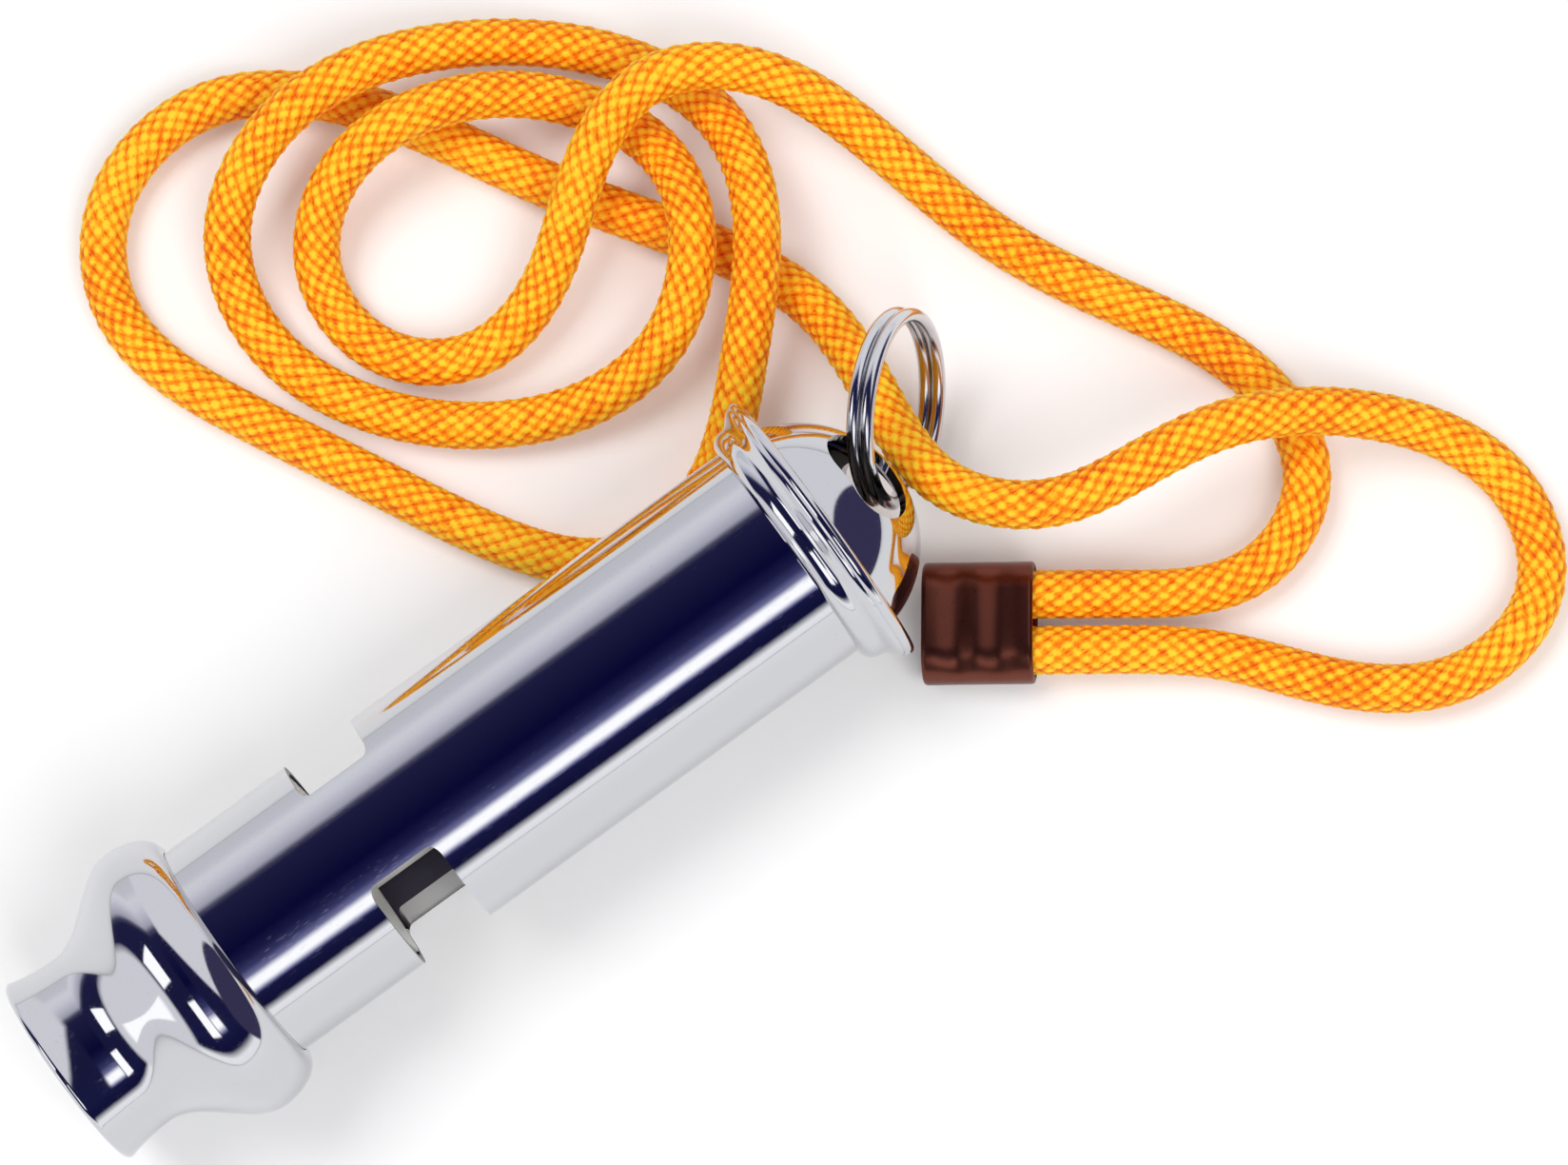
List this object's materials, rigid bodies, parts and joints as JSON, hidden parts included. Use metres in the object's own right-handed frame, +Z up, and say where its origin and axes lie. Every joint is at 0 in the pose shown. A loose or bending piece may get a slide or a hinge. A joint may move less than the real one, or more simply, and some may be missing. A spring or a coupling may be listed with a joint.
{
  "type": "police whistle",
  "caption": "Tubular two-tone whistle with a flared mouthpiece, windowed barrel, domed cap, swinging split ring and braided cord lanyard.",
  "frame": {"origin": "on the ground plane, under the middle of the box round the whistle and its ring", "axes": "+X along the whistle from mouthpiece to cap, +Z up, windows facing +Y and -Y"},
  "size_m": [0.1087, 0.094, 0.0218],
  "materials": {
    "polished_chrome": "mirror-polished chrome plate on brass",
    "inner_metal": "dull nickel-washed brass",
    "ring_steel": "polished spring steel wire",
    "cord_braid": "bright yellow-orange braided cord",
    "ferrule_bronze": "brown bronzed crimp sleeve"
  },
  "bodies": {
    "whistle": {"barrel": "polished_chrome", "mouthpiece": "polished_chrome", "windway_block_left": "inner_metal", "windway_block_right": "inner_metal", "septum": "inner_metal", "chamber_stop_left": "inner_metal", "chamber_stop_right": "inner_metal", "cap_collar": "polished_chrome", "cap_dome": "polished_chrome", "lanyard_cord": "cord_braid", "lanyard_ferrule": "ferrule_bronze"},
    "ring": {"split_ring": "ring_steel"}
  },
  "joints": [
    {"name": "ring_swing", "type": "hinge", "parent": "whistle", "child": "ring", "pos_m": [0.02957, 0, 0.0109], "axis": [0, 0.309, 0.9511], "range_deg": [-60, 8]}
  ]
}
